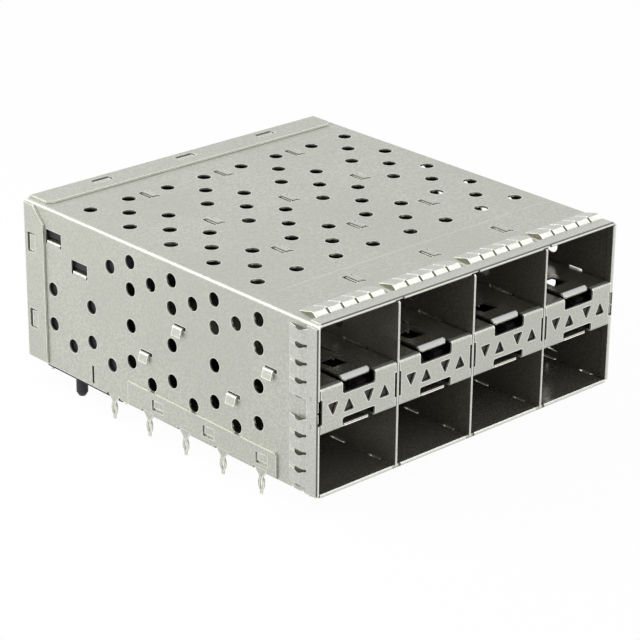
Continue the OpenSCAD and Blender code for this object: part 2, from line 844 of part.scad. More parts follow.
module emi_spring_left_upper() { color(SPRING) in_cage() left_gasket_upper(); }
module emi_spring_left_lower() { color(SPRING) in_cage() left_gasket_lower(); }
module emi_spring_right_upper() { color(SPRING) in_cage() mirror([1, 0, 0]) left_gasket_upper(); }
module emi_spring_right_lower() { color(SPRING) in_cage() mirror([1, 0, 0]) left_gasket_lower(); }

// ---------------------------------------------------------------- connectors

body_back = connector_front + connector_depth;
snout_front = connector_front - snout_len;
board = -seat_gap;
contact_out = slot_h / 2 + 0.25;
contact_drop = [[3, 6], [9.5, 13]];

// Depth and height of one contact's line: slot is 0 or 1, side is -1 below the card and 1 above it
function contact_path(slot, side) =
  let (
    z = slot_levels[slot],
    back = connector_front + contact_drop[slot][(side + 1) / 2]
  ) [
    [snout_front + 1, z + side * (contact_out - 0.05)],
    [snout_front + 2.2, z + side * (slot_h / 2 - 0.12)],
    [snout_front + slot_depth - 2, z + side * contact_out],
    [back, z + side * contact_out],
    [back, board - pin_len + 0.6]
  ];

// The four contacts that lie in one plane
module contacts_2d(t) {
  for (slot = [0, 1], side = [-1, 1]) ribbon(contact_path(slot, side), t);
}

module contacts(i) {
  color(GOLD) in_cage()
    for (x = contact_x)
      side_sheet(port_x(i) + x - contact_w / 2, contact_w) contacts_2d(contact_t);
}

// Moulded body and its two snouts
module connector_body() {
  top = cage_h - sheet_t - 0.4;
  shelf = connector_front + 3;
  side_sheet(-connector_w / 2, connector_w) polygon([
    [connector_front, board], [connector_front, deck_high + 1.2], [connector_front + 0.8, deck_high + 2],
    [connector_front + 0.8, top - 0.8], [connector_front + 1.6, top],
    [body_back - 1.5, top], [body_back, top - 1.5], [body_back, board]
  ]);
  for (z = slot_levels)
    side_sheet(-snout_w / 2, snout_w) polygon([
      [shelf, z - snout_h / 2], [snout_front + 0.6, z - snout_h / 2], [snout_front, z - snout_h / 2 + 0.6],
      [snout_front, z + snout_h / 2 - 0.6], [snout_front + 0.6, z + snout_h / 2], [shelf, z + snout_h / 2]
    ]);
}

// Room for one plane of contacts: grooves beside both card slots and a tight passage behind them
module contact_passage_2d() {
  contacts_2d(contact_t + 2 * contact_gap);
  for (z = slot_levels)
    box_2d([snout_front + 0.6, z - contact_out - contact_t / 2 - 0.1],
           [snout_front + slot_depth - 1, z + contact_out + contact_t / 2 + 0.1]);
}

module locating_peg() {
  tip = 0.6;
  translate([0, 0, board - pin_len + 0.1 + tip]) cylinder(d = peg_d, h = pin_len - 0.1 - tip + cut);
  translate([0, 0, board - pin_len + 0.1]) cylinder(d1 = peg_d - 2 * tip * 0.6, d2 = peg_d, h = tip);
}

module connector(i) {
  pipe_low = pipe_level[1] - pipe_gap;
  pipe_high = pipe_level[0] + pipe_h + pipe_gap;
  color(BLACK) in_cage() translate([port_x(i), 0, 0]) {
    difference() {
      connector_body();
      // Card slots with a flared mouth
      for (z = slot_levels) side_sheet(-slot_w / 2, slot_w) polygon([
        [snout_front - cut, z - slot_h / 2 - 0.4 - cut], [snout_front + 0.4, z - slot_h / 2],
        [snout_front + slot_depth, z - slot_h / 2], [snout_front + slot_depth, z + slot_h / 2],
        [snout_front + 0.4, z + slot_h / 2], [snout_front - cut, z + slot_h / 2 + 0.4 + cut]
      ]);
      for (x = contact_x)
        side_sheet(x - contact_w / 2 - contact_gap, contact_w + 2 * contact_gap) contact_passage_2d();
      // Passages for the light pipes
      for (s = [-1, 1])
        translate([s * pipe_side - pipe_w / 2 - pipe_gap, connector_front - cut, pipe_low])
          cube([pipe_w + 2 * pipe_gap, connector_depth + 2 * cut, pipe_high - pipe_low]);
      // Pockets for the wall's grip tabs
      for (g = grips, s = [-1, 1])
        translate([s * connector_w / 2 - 0.45, g[0], g[1] - 0.2]) cube([0.9, grip_len, 1.1]);
    }
    for (s = [-1, 1]) translate([s * peg_offset, datum_depth, 0]) locating_peg();
  }
}

module connector_1() { connector(0); }
module connector_2() { connector(1); }
module connector_3() { connector(2); }
module connector_4() { connector(3); }
module contacts_1() { contacts(0); }
module contacts_2() { contacts(1); }
module contacts_3() { contacts(2); }
module contacts_4() { contacts(3); }

// ---------------------------------------------------------------- light pipes

// One pipe from its head behind the front plate to the board; row 0 is the inner, higher one
module light_pipe(row) {
  head = window_side + 0.2;
  front = sheet_t + pipe_gap;
  bend_end = connector_front - snout_len - 2.4;
  bend_l = 6;
  joint = bend_end + 3;
  z = pipe_level[row];
  back = body_back + (row == 0 ? rear_space - 0.2 : rear_space / 2 - 0.15);
  translate([pipe_x[row] - head / 2, front, light_level - head / 2]) cube([head, 2.5, head]);
  flat_sheet(z, pipe_h)
    ribbon([[pipe_x[row], front + 1], [pipe_x[row], bend_end - bend_l],
            [pipe_side, bend_end], [pipe_side, joint]], pipe_w);
  side_sheet(pipe_side - pipe_w / 2, pipe_w) polygon([
    [joint - cut, z], [back - pipe_h, z], [back - pipe_h, board + 0.8], [back, board + 0.8],
    [back, z + pipe_h / 2], [back - pipe_h / 2, z + pipe_h], [joint - cut, z + pipe_h]
  ]);
}

module light_pipes(i) {
  half = pipe_x[1] + pipe_w / 2;
  low = pipe_level[1] + pipe_h;
  color(SMOKE) in_cage() translate([port_x(i), 0, 0]) {
    for (row = [0, 1], s = [0, 1]) mirror([s, 0, 0]) light_pipe(row);
    for (y = [tongue_root + 6, connector_front - 8])
      translate([-half, y, low]) cube([2 * half, 1.5, pipe_level[0] - low]);
  }
}

module light_pipes_1() { light_pipes(0); }
module light_pipes_2() { light_pipes(1); }
module light_pipes_3() { light_pipes(2); }
module light_pipes_4() { light_pipes(3); }

cage_shell();
rear_cover();
bottom_plate();
divider_left();
divider_middle();
divider_right();
separator_1();
separator_2();
separator_3();
separator_4();
emi_spring_top();
emi_spring_bottom();
emi_spring_left_upper();
emi_spring_left_lower();
emi_spring_right_upper();
emi_spring_right_lower();
connector_1();
connector_2();
connector_3();
connector_4();
contacts_1();
contacts_2();
contacts_3();
contacts_4();
light_pipes_1();
light_pipes_2();
light_pipes_3();
light_pipes_4();
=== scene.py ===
"""Stacked cage for pluggable transceiver modules: finishes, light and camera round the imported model."""

import math

import bmesh
import bpy
from mathutils import Matrix, Vector


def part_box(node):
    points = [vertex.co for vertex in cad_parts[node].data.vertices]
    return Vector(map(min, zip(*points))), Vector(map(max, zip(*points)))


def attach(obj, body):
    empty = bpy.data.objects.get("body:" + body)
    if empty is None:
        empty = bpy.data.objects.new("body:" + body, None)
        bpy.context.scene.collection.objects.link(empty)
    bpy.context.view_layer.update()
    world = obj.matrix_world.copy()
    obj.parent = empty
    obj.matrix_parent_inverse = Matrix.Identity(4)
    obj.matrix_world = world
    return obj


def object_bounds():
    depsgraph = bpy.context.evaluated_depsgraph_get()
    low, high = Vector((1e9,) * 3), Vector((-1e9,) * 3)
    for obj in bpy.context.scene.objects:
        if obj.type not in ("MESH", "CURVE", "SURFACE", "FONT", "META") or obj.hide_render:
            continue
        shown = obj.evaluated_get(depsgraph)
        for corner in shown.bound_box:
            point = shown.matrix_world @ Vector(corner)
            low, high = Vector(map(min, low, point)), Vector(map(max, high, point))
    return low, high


MM = 0.001

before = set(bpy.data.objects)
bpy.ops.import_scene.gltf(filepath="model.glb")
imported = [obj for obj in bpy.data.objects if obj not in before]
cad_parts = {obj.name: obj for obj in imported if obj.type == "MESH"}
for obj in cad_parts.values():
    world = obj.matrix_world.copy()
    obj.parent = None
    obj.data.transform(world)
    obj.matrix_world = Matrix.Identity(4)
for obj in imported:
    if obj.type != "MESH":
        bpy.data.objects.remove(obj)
cad_low, cad_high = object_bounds()
cad_middle = (cad_low + cad_high) / 2

# ---------------------------------------------------------------- places in the part

# Plane of the mouth
MOUTH = cad_low.y
# Thickness of the folded sheets, and level of the shell's lower edge over the board
SHEET = 0.3 * MM
SHELL_BOTTOM = 0.7 * MM
# Levels of the separators' lower and upper decks
DECKS = (9.8 * MM, 16.4 * MM)
# Gasket fingers: width, spacing, rise over the shell, and how many stand in a row
FINGER_WIDTH = 2.1 * MM
FINGER_PITCH = 2.55 * MM
FINGER_RISE = 0.68 * MM
PORT_FINGERS = 5
WALL_FINGERS = 4
# From the side of a connector to the first finger over its ports
FIRST_FINGER = 0.9 * MM
# Drop from the upper end of a wall gasket to its first finger
FIRST_DROP = {"upper": 0.55 * MM, "lower": 1.2 * MM}
# Half width and height of the shell's outer faces, under the gaskets' fingers
SHELL_SIDE = cad_high.x - FINGER_RISE
SHELL_TOP = cad_high.z - FINGER_RISE
# Beyond the sides, the top, the bottom and the back of the part
FAR = 40 * MM

# ---------------------------------------------------------------- colours

# Plain colours of the finishes, as linear red, green and blue
PLATE_COLOUR = (0.53, 0.54, 0.48)
SPRING_COLOUR = (0.58, 0.59, 0.54)
# Painted shade of the inner faces behind the mouth, and of the ports' floors
INSIDE_SHADE = (0.22, 0.21, 0.17)
PORT_FLOOR_SHADE = (0.24, 0.23, 0.195)
# Cream: painted highlights on rolled fronts and inner edges, and the colour of the scored line
CREAM = (0.84, 0.83, 0.75)
# Painted highlights along cut edges and on the latch tongues
EDGE_HIGHLIGHT = (0.99, 0.98, 0.90)
LIP_HIGHLIGHT = (0.97, 0.97, 0.95)
HOUSING_COLOUR = (0.018, 0.018, 0.021)
# Painted highlight on the housing's edges
HOUSING_EDGE_HIGHLIGHT = (0.09, 0.09, 0.10)
CONTACT_COLOUR = (0.72, 0.52, 0.20)
CONTACT_WORN = (0.80, 0.62, 0.32)
# Dark colour of the light pipes, painted for the shade behind them
PIPE_SHADE = (0.055, 0.045, 0.048)
# Painted shade of the shell's face seen between the gasket fingers
OLIVE_SHADE = (0.24, 0.23, 0.165)
DARK_OLIVE_SHADE = (0.072, 0.069, 0.0495)
# Painted shade lines: a shadow behind the rolled front of a strip, the shaded slot over a divider's wall,
# and the shaded gap between two fingers
ROLL_SHADOW = (0.06, 0.055, 0.03)
SLOT_SHADE = (0.05, 0.045, 0.025)
FINGER_GAP_SHADE = (0.045, 0.04, 0.012)


def shade(colour, factor):
    return tuple(factor * c for c in colour)


# ---------------------------------------------------------------- node helpers

# Soft borders of painted areas
SOFT = 0.1 * MM
CRISP = 0.02 * MM
# Length over which the painted shade begins behind the mouth
SHADE_FADE = 0.15 * MM
# Depths between which the rolled front of a gasket ends
ROLL_END = (0.20 * MM, 0.28 * MM)
# Painted shade in the gap between two wall fingers: depth of its middle, half length and half height
LENS_DEPTH = 3.3 * MM
LENS_HALF_LENGTH = 1.15 * MM
LENS_HALF_HEIGHT = 0.42 * MM
LENS_SOFT = 0.06 * MM
# Heights over the wall between which the painted gap shade begins
LENS_FLOOR = (0.01 * MM, 0.05 * MM)
# Cosines of the turn of a rounded normal that count as no edge and as a full edge
EDGE_TURN = (0.995, 0.95)
EDGE_SAMPLES = 6


class Nodes:
    """Short way to build a material's node tree."""

    def __init__(self, name):
        self.material = bpy.data.materials.new(name)
        self.material.use_nodes = True
        self.tree = self.material.node_tree
        self.shader = self.tree.nodes["Principled BSDF"]

    def add(self, kind, **settings):
        node = self.tree.nodes.new("ShaderNode" + kind)
        for key, value in settings.items():
            setattr(node, key, value)
        return node

    def link(self, source, target):
        self.tree.links.new(source, target)

    def put(self, value, socket):
        """Links an output to a socket, or sets the socket to a plain value."""
        if isinstance(value, bpy.types.NodeSocket):
            self.link(value, socket)
        else:
            socket.default_value = value

    def surface(self, **values):
        """Gives sockets of the shader their values; an underscore stands for a space."""
        for name, value in values.items():
            self.put(value, self.shader.inputs[name.replace("_", " ")])

    def math(self, operation, a, b=0.0):
        node = self.add("Math", operation=operation)
        self.put(a, node.inputs[0])
        self.put(b, node.inputs[1])
        return node.outputs[0]

    def ramp(self, value, low, high, to_low=0.0, to_high=1.0):
        """Maps a value smoothly from one range to another."""
        node = self.add("MapRange", interpolation_type="SMOOTHSTEP")
        for socket, entry in zip(node.inputs, (value, low, high, to_low, to_high)):
            self.put(entry, socket)
        return node.outputs[0]

    def mix(self, factor, a, b):
        node = self.add("Mix", data_type="RGBA")
        self.put(factor, node.inputs["Factor"])
        for value, socket in ((a, node.inputs[6]), (b, node.inputs[7])):
            self.put((*value, 1.0) if isinstance(value, tuple) else value, socket)
        return node.outputs[2]

    def noise(self, scale, detail, stretch=(1.0, 1.0, 1.0)):
        """Noise over the part's own coordinates; scale is in features per metre."""
        place = self.add("TexCoord")
        mapping = self.add("Mapping")
        mapping.inputs["Scale"].default_value = stretch
        self.link(place.outputs["Object"], mapping.inputs["Vector"])
        node = self.add("TexNoise")
        node.inputs["Scale"].default_value = scale
        node.inputs["Detail"].default_value = detail
        self.link(mapping.outputs[0], node.inputs["Vector"])
        return node.outputs["Fac"]

    def within(self, value, low, high, soft):
        """1 where value lies between low and high, with a soft border."""
        above = self.ramp(value, low - soft, low + soft)
        below = self.ramp(value, high + soft, high - soft)
        return self.math("MULTIPLY", above, below)

    def axes(self):
        """X, Y and Z in the part's own frame."""
        place = self.add("TexCoord")
        split = self.add("SeparateXYZ")
        self.link(place.outputs["Object"], split.inputs[0])
        return split.outputs

    def block(self, low, high, soft):
        """1 between two corners of a box, with a soft border."""
        factor = 1.0
        for value, a, b in zip(self.axes(), low, high):
            factor = self.math("MULTIPLY", factor, self.within(value, a, b, soft))
        return factor

    def inside(self, lip, lip_proud):
        """1 on faces that look into the box behind its mouth, 0 on its outside.

        The painted shade of the inner faces begins at depth lip, and on latch tongues proud of the decks
        at lip_proud."""
        x, y, z = self.axes()
        half = SHELL_SIDE - SHEET / 2
        across = self.within(x, -half, half, SOFT)
        upright = self.within(z, SHELL_BOTTOM + SHEET / 2, SHELL_TOP - SHEET / 2, SOFT)
        proud = self.math("SUBTRACT", 1.0, self.within(z, *DECKS, CRISP))
        start = self.ramp(proud, 0.0, 1.0, MOUTH + lip, MOUTH + lip_proud)
        behind = self.ramp(self.math("SUBTRACT", y, start), 0.0, SHADE_FADE)
        return self.math("MULTIPLY", self.math("MULTIPLY", across, upright), behind)

    def roll(self, low, high):
        """1 on the mouth's rolled edge between two distances outward from the sheet's surface."""
        x, y, z = self.axes()
        across = self.math("SUBTRACT", self.math("ABSOLUTE", x), SHELL_SIDE)
        from_middle = self.math("ABSOLUTE", self.math("SUBTRACT", z, SHELL_TOP / 2))
        upright = self.math("SUBTRACT", from_middle, SHELL_TOP / 2)
        outward = self.math("MAXIMUM", across, upright)
        front = self.ramp(y, MOUTH + ROLL_END[1], MOUTH + ROLL_END[0])
        return self.math("MULTIPLY", front, self.within(outward, low, high, CRISP))

    def wall_gaps(self, first):
        """1 in the lens-shaped gaps between a wall gasket's fingers, counted from height first, where
        their shade is painted.
        """
        x, y, z = self.axes()
        away = self.math("PINGPONG", self.math("SUBTRACT", z, first), FINGER_PITCH / 2)
        depth = self.math("SUBTRACT", y, MOUTH + LENS_DEPTH)
        bow = self.math("DIVIDE", depth, LENS_HALF_LENGTH)
        share = self.math("SUBTRACT", 1.0, self.math("MULTIPLY", bow, bow))
        half_height = self.math("MULTIPLY", share, LENS_HALF_HEIGHT)
        gap = self.ramp(self.math("SUBTRACT", half_height, away), 0.0, LENS_SOFT)
        floor = (SHELL_SIDE + height for height in LENS_FLOOR)
        outside = self.ramp(self.math("ABSOLUTE", x), *floor)
        return self.math("MULTIPLY", gap, outside)

    def edges(self, radius):
        """1 along sharp edges, 0 on flat faces."""
        bevel = self.add("Bevel", samples=EDGE_SAMPLES)
        bevel.inputs["Radius"].default_value = radius
        flat = self.add("NewGeometry")
        dot = self.add("VectorMath", operation="DOT_PRODUCT")
        self.link(bevel.outputs[0], dot.inputs[0])
        self.link(flat.outputs["Normal"], dot.inputs[1])
        return self.ramp(dot.outputs["Value"], *EDGE_TURN)

    def relief(self, height, strength, distance):
        bump = self.add("Bump")
        bump.inputs["Strength"].default_value = strength
        bump.inputs["Distance"].default_value = distance
        self.link(height, bump.inputs["Height"])
        return bump.outputs[0]


# ---------------------------------------------------------------- painted marks

# A place is a function of a material's nodes, and a mark is (place, strength, colour)


def block(low, high, soft):
    return lambda n: n.block(low, high, soft)


def roll(low, high):
    return lambda n: n.roll(low, high)


def wall_gaps(first):
    return lambda n: n.wall_gaps(first)


def scored_line():
    """Faint line across the top, behind the gasket."""
    low = (-24.6 * MM, MOUTH + 12.50 * MM, SHELL_TOP - 0.2 * MM)
    high = (26.2 * MM, MOUTH + 12.62 * MM, SHELL_TOP + 0.2 * MM)
    return block(low, high, 0.04 * MM), 0.45, CREAM


def dimple_shade():
    """Painted shade of a shallow dent in the left wall."""
    low = (-SHELL_SIDE - 0.2 * MM, MOUTH + 8.1 * MM, 11.4 * MM)
    high = (-SHELL_SIDE + 0.2 * MM, MOUTH + 9.2 * MM, 12.4 * MM)
    return block(low, high, 0.25 * MM), 0.3, shade(PLATE_COLOUR, 0.7)


def joining_mark(level):
    """Small mark beside the joint of the left wall's two strips."""
    low = (-SHELL_SIDE - 0.4 * MM, MOUTH + 1.2 * MM, level)
    high = (-SHELL_SIDE + 0.2 * MM, MOUTH + 1.5 * MM, level + 0.7 * MM)
    return block(low, high, 0.08 * MM), 0.6, shade(SPRING_COLOUR, 0.45)


def finger_gap_shade(level):
    """Painted shade in the gaps between the fingers of the wall gaskets at one level."""
    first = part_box(f"emi_spring_left_{level}")[1].z - FIRST_DROP[level]
    return wall_gaps(first + (FINGER_PITCH - FINGER_WIDTH) / 2), 1.0, FINGER_GAP_SHADE


def tab_marks():
    """Plain flat tabs on the top sheet, each with a painted shade line in the slot over its divider's
    wall.
    """
    depth, level = MOUTH + 3 * MM, SHELL_TOP - SHEET / 2
    far = (FAR, FAR, FAR)
    marks = [(block((-FAR, depth, level), far, CRISP), 1.0, PLATE_COLOUR)]
    for place in ("left", "middle", "right"):
        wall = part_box(f"divider_{place}")[0].x
        slot_shade = block((wall - 0.1 * MM, depth, level), (wall + 0.26 * MM, FAR, FAR), 0.03 * MM)
        marks.append((slot_shade, 0.9, SLOT_SHADE))
    return marks


def lip_highlights():
    """Painted highlights on each latch tongue's lip, over the upper deck and under the lower one."""
    clear = 0.03 * MM
    for low, high in ((DECKS[1] + clear, FAR), (-FAR, DECKS[0] - clear)):
        yield block((-FAR, MOUTH + 0.3 * MM, low), (FAR, MOUTH + 1.25 * MM, high), 0.03 * MM)


# ---------------------------------------------------------------- finishes

# Depths behind the mouth where the painted shade of the inner faces begins
SHEET_LIP = 0.35 * MM
DIVIDER_LIP = 0.05 * MM
STRIP_LIP = 0.12 * MM
TONGUE_LIP = 1.3 * MM
# Widths of the painted highlights along cut edges
CUT_EDGE = 0.18 * MM
SEPARATOR_EDGE = 0.2 * MM
FLOOR_EDGE = 0.15 * MM
STRIP_EDGE = 0.12 * MM
HOUSING_ROUND = 0.12 * MM
# How metallic the sheets' outer and inner faces are, and how much a painted highlight takes from that
OUTSIDE_METAL = 0.75
INSIDE_METAL = 0.6
HIGHLIGHT_METAL_LOSS = 0.5
# How much smoother the inner faces are, and how strongly the painted highlights on their edges show
INSIDE_SMOOTHER = 0.20
INNER_EDGE_HIGHLIGHT = 0.6
# Shades of a sheet's wide clouds and fine speckle, as shares of its colour
CLOUD_BRIGHT = 1.04
CLOUD_DARK = 0.95
SPECKLE_DARK = 0.86
INNER_SPECKLE_DARK = 0.72
SHEET_ROUGHNESS = 0.42
SEPARATOR_ROUGHNESS = 0.40
STRIP_ROUGHNESS = 0.34
HOUSING_ROUGHNESS = (0.36, 0.50)
CONTACT_ROUGHNESS = (0.22, 0.34)


def plated_sheet(name, colour=PLATE_COLOUR, roughness=SHEET_ROUGHNESS, lip=SHEET_LIP, proud_lip=None,
                 edge_highlight_width=CUT_EDGE, inside_shade=INSIDE_SHADE, marks=(), highlights=()):
    """Satin plated sheet: fine rolling grain, painted highlights on cut edges, painted shade where it
    closes a box.
    """
    n = Nodes(name)
    grain = n.noise(scale=7000.0, detail=2.0, stretch=(1.0, 0.35, 1.0))
    speckle = n.noise(scale=3200.0, detail=2.0)
    cloud = n.noise(scale=55.0, detail=3.0)
    edge = n.edges(edge_highlight_width)
    inside = n.inside(lip, proud_lip or lip)
    metal = n.ramp(inside, 0.0, 1.0, to_low=OUTSIDE_METAL, to_high=INSIDE_METAL)
    outer = n.mix(n.ramp(cloud, 0.35, 0.65), shade(colour, CLOUD_BRIGHT), shade(colour, CLOUD_DARK))
    outer = n.mix(n.ramp(speckle, 0.40, 0.62), shade(colour, SPECKLE_DARK), outer)
    # Painted highlights on the latch tongues
    for place in highlights:
        highlighted = place(n)
        outer = n.mix(highlighted, outer, LIP_HIGHLIGHT)
        metal = n.math("SUBTRACT", metal, n.math("MULTIPLY", highlighted, HIGHLIGHT_METAL_LOSS))
    # Painted highlight along the cut edges
    outer = n.mix(edge, outer, EDGE_HIGHLIGHT)
    metal = n.math("MAXIMUM", metal, edge)
    # Inner faces: painted shade, with painted highlights on their edges
    inner = n.mix(n.ramp(speckle, 0.35, 0.65), shade(inside_shade, INNER_SPECKLE_DARK), inside_shade)
    inner = n.mix(n.math("MULTIPLY", edge, INNER_EDGE_HIGHLIGHT), inner, CREAM)
    finish = n.mix(inside, outer, inner)
    for place, strength, mark_colour in marks:
        amount = n.math("MULTIPLY", place(n), strength)
        finish = n.mix(amount, finish, mark_colour)
        metal = n.math("MULTIPLY", metal, n.math("SUBTRACT", 1.0, amount))
    rough = n.ramp(grain, 0.3, 0.7, to_low=roughness - 0.03, to_high=roughness + 0.05)
    rough = n.math("SUBTRACT", rough, n.math("MULTIPLY", inside, INSIDE_SMOOTHER))
    n.surface(Base_Color=finish, Metallic=metal, Roughness=rough,
              Normal=n.relief(grain, strength=0.04, distance=0.01 * MM))
    return n.material


def spring_strip(name, inside_shade=INSIDE_SHADE, marks=()):
    """Gasket strip: painted highlight at its rolled front, with a painted shadow behind it."""
    shared = [
        # Painted highlight where the roll faces the front, and painted shadow behind it
        (roll(-0.22 * MM, -0.04 * MM), 0.9, CREAM),
        (roll(-0.01 * MM, 0.30 * MM), 0.95, ROLL_SHADOW),
        joining_mark(10.5 * MM),
        joining_mark(14.5 * MM),
    ]
    return plated_sheet(name, SPRING_COLOUR, STRIP_ROUGHNESS, STRIP_LIP, edge_highlight_width=STRIP_EDGE,
                        inside_shade=inside_shade, marks=[*shared, *marks])


def moulded_plastic(name):
    """Black moulded polymer with a faint flow pattern and painted highlights on its edges."""
    n = Nodes(name)
    flow = n.noise(scale=900.0, detail=4.0, stretch=(1.0, 1.0, 0.3))
    tone = n.mix(flow, HOUSING_COLOUR, shade(HOUSING_COLOUR, 2.2))
    edge = n.math("MULTIPLY", n.edges(HOUSING_ROUND), 0.4)
    n.surface(Base_Color=n.mix(edge, tone, HOUSING_EDGE_HIGHLIGHT), Specular_IOR_Level=0.22,
              Roughness=n.ramp(flow, 0.3, 0.7, *HOUSING_ROUGHNESS))
    return n.material


def gold_contact(name):
    """Gold flash, paler where it is worn."""
    n = Nodes(name)
    wear = n.noise(scale=2500.0, detail=3.0)
    n.surface(Base_Color=n.mix(wear, CONTACT_COLOUR, CONTACT_WORN), Metallic=1.0,
              Roughness=n.ramp(wear, 0.3, 0.7, *CONTACT_ROUGHNESS))
    return n.material


def light_pipe(name):
    """Clear polycarbonate, with a dark colour painted for the shade behind it."""
    n = Nodes(name)
    haze = n.noise(scale=700.0, detail=2.0)
    n.surface(Base_Color=n.mix(haze, PIPE_SHADE, shade(PIPE_SHADE, 0.6)), Roughness=0.25,
              Specular_IOR_Level=0.25, Transmission_Weight=0.35, IOR=1.58)
    return n.material


def painted_shade_bed(name, colour):
    """Dull sheet seen between the fingers, coloured as painted shade of the shell's face under them."""
    n = Nodes(name)
    grain = n.ramp(n.noise(scale=3000.0, detail=2.0), 0.35, 0.65)
    n.surface(Base_Color=n.mix(grain, shade(colour, 0.8), colour), Metallic=0.2, Roughness=0.5)
    return n.material


strip = spring_strip("spring_sheet")
shell_sheet = plated_sheet("plated_sheet", marks=(scored_line(), dimple_shade()))
# Finish for each start of a node's name; all other nodes get shell_sheet
finishes = {
    "divider": plated_sheet("divider_sheet", lip=DIVIDER_LIP, marks=tab_marks()),
    "separator": plated_sheet("separator_sheet", roughness=SEPARATOR_ROUGHNESS, proud_lip=TONGUE_LIP,
                              edge_highlight_width=SEPARATOR_EDGE, highlights=lip_highlights()),
    "bottom_plate": plated_sheet("bottom_sheet", edge_highlight_width=FLOOR_EDGE, inside_shade=PORT_FLOOR_SHADE),
    "emi_spring_top": strip,
    "emi_spring_bottom": spring_strip("low_spring_sheet", PORT_FLOOR_SHADE),
    "connector": moulded_plastic("housing_polymer"),
    "contacts": gold_contact("gold_contact"),
    "light_pipes": light_pipe("light_pipe_plastic"),
}
for level in FIRST_DROP:
    wall_strip = spring_strip(f"{level}_spring_sheet", marks=[finger_gap_shade(level)])
    for hand in ("left", "right"):
        finishes[f"emi_spring_{hand}_{level}"] = wall_strip

for node_name, node_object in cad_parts.items():
    finish = next((m for start, m in finishes.items() if node_name.startswith(start)), shell_sheet)
    for slot in node_object.material_slots:
        slot.material = finish

# ---------------------------------------------------------------- beds under the gasket fingers

# Side view of a bed, just under the fingers: (depth from the mouth, height over the sheet) in mm
BED_PROFILE = ((2.27, 0.01), (2.45, 0.137), (2.65, 0.303), (2.85, 0.452), (3.05, 0.53), (3.45, 0.49),
               (5.33, 0.01))
# Side views of the webs that close the gaps between two fingers behind their crests
WEB_PROFILE = ((3.02, 0.50), (3.08, 0.64), (3.45, 0.60), (5.45, 0.10), (5.33, 0.012))
WALL_WEB_PROFILE = ((4.15, 0.30), (4.22, 0.42), (5.45, 0.10), (5.33, 0.012))
# Distance of a bed's ends and a web's sides from the sides of the fingers
BED_INSET = 0.02 * MM
WEB_INSET = 0.005 * MM


def finger_row(start, count):
    """Both ends of a bed under a row of fingers."""
    end = start + (count - 1) * FINGER_PITCH + FINGER_WIDTH
    return start + BED_INSET, end - BED_INSET


def finger_gaps(start, count):
    """Both sides of the webs between the fingers of a row."""
    sides = (start + k * FINGER_PITCH for k in range(count - 1))
    return [(side + FINGER_WIDTH + WEB_INSET, side + FINGER_PITCH - WEB_INSET) for side in sides]


def add_prisms(name, material, profile, origin, along, out, rows):
    """One piece with a prism of the given side view for each row's (start, end) along the strip.

    The origin lies on the sheet's face at the mouth, and out points away from the sheet."""
    mesh = bmesh.new()
    for row in rows:
        near, far = (
            [mesh.verts.new(origin + along * place + Vector((0, depth * MM, 0)) + out * (height * MM))
             for depth, height in profile]
            for place in row)
        mesh.faces.new(near)
        mesh.faces.new(reversed(far))
        for i, j in zip(range(-1, len(profile)), range(len(profile))):
            mesh.faces.new((near[i], far[i], far[j], near[j]))
    bmesh.ops.recalc_face_normals(mesh, faces=mesh.faces)
    data = bpy.data.meshes.new(name)
    mesh.to_mesh(data)
    mesh.free()
    data.materials.append(material)
    piece = bpy.data.objects.new(name, data)
    bpy.context.collection.objects.link(piece)
    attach(piece, "root")


def make_beds():
    """Closes the hollows under the gaskets' fingers with beds in painted shade, so that their gaps show
    as shallow grooves.
    """
    across, upright = Vector((1, 0, 0)), Vector((0, 0, 1))
    pale = painted_shade_bed("painted_shade_bed", OLIVE_SHADE)
    dark = painted_shade_bed("wall_painted_shade_bed", DARK_OLIVE_SHADE)
    starts = [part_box(f"connector_{i}")[0].x + FIRST_FINGER for i in (1, 2, 3, 4)]
    rows = [finger_row(start, PORT_FINGERS) for start in starts]
    gaps = [gap for start in starts for gap in finger_gaps(start, PORT_FINGERS)]
    for name, level, out in (("top", SHELL_TOP, upright), ("bottom", 0, -upright)):
        place = Vector((0, MOUTH, level)), across, out
        add_prisms(f"bed_{name}", pale, BED_PROFILE, *place, rows)
        add_prisms(f"webs_{name}", strip, WEB_PROFILE, *place, gaps)
    for level, drop in FIRST_DROP.items():
        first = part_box(f"emi_spring_left_{level}")[1].z - drop
        start = first - (WALL_FINGERS - 1) * FINGER_PITCH - FINGER_WIDTH
        wall_row = [finger_row(start, WALL_FINGERS)]
        wall_gap_rows = finger_gaps(start, WALL_FINGERS)
        for hand, sign in (("left", -1), ("right", 1)):
            place = Vector((sign * SHELL_SIDE, MOUTH, 0)), upright, across * sign
            add_prisms(f"bed_{hand}_{level}", dark, BED_PROFILE, *place, wall_row)
            add_prisms(f"webs_{hand}_{level}", strip, WALL_WEB_PROFILE, *place, wall_gap_rows)


make_beds()

# ---------------------------------------------------------------- stage

# Camera: direction and roll in degrees, distance in metres, lens and sensor in mm, near and far
# clipping in metres, and aim from the middle of the CAD
VIEW_AZIMUTH = -42.64
VIEW_ELEVATION = 22.92
VIEW_ROLL = 0.54
VIEW_DISTANCE = 0.36536
VIEW_LENS = 141.12
VIEW_SENSOR = 36.0
VIEW_CLIP = (0.01, 20.0)
AIM_OFFSET = Vector((-0.53, -1.345, -2.785)) * MM

WHITE = (1.0, 1.0, 1.0, 1.0)
FLOOR_PAINT = (0.94, 0.94, 0.94, 1.0)
FLOOR_SIZE = 6.0
# Drop of the floor below the tips of the pins
FLOOR_DROP = 0.02 * MM
# Share of the floor's white that comes from its own glow for the camera and for reflections
FLOOR_GLOW = 0.965
# Soft light from all around
SKY_COLOUR = (0.9, 0.95, 1.0, 1.0)
SKY_STRENGTH = 0.35

# Distance of a lamp from the part, in metres, where none is given
LAMP_DISTANCE = 0.7
